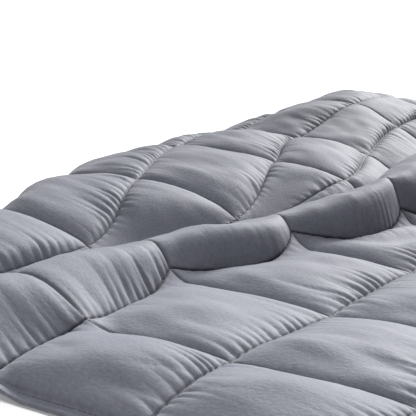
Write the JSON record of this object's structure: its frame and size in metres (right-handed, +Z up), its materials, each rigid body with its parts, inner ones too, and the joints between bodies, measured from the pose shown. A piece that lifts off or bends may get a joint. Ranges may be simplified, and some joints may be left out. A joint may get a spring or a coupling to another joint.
{
  "type": "quilted blanket",
  "caption": "Grey box-quilted filled blanket lying loosely on a flat surface, with one rolling ridge, gathers behind it and a broad low hump.",
  "frame": {"origin": "on the surface the blanket lies on, under the middle of its bounding box", "axes": "+Z up, +X along the short side away from the near hem, +Y along the long side towards the ridge and the hump"},
  "size_m": [0.9566, 1.0972, 0.0736],
  "materials": {
    "quilted_cotton": "fine plain-woven cover with a faint sheen, sewn through in squares"
  },
  "bodies": {
    "root": {"blanket": "quilted_cotton"}
  },
  "joints": []
}
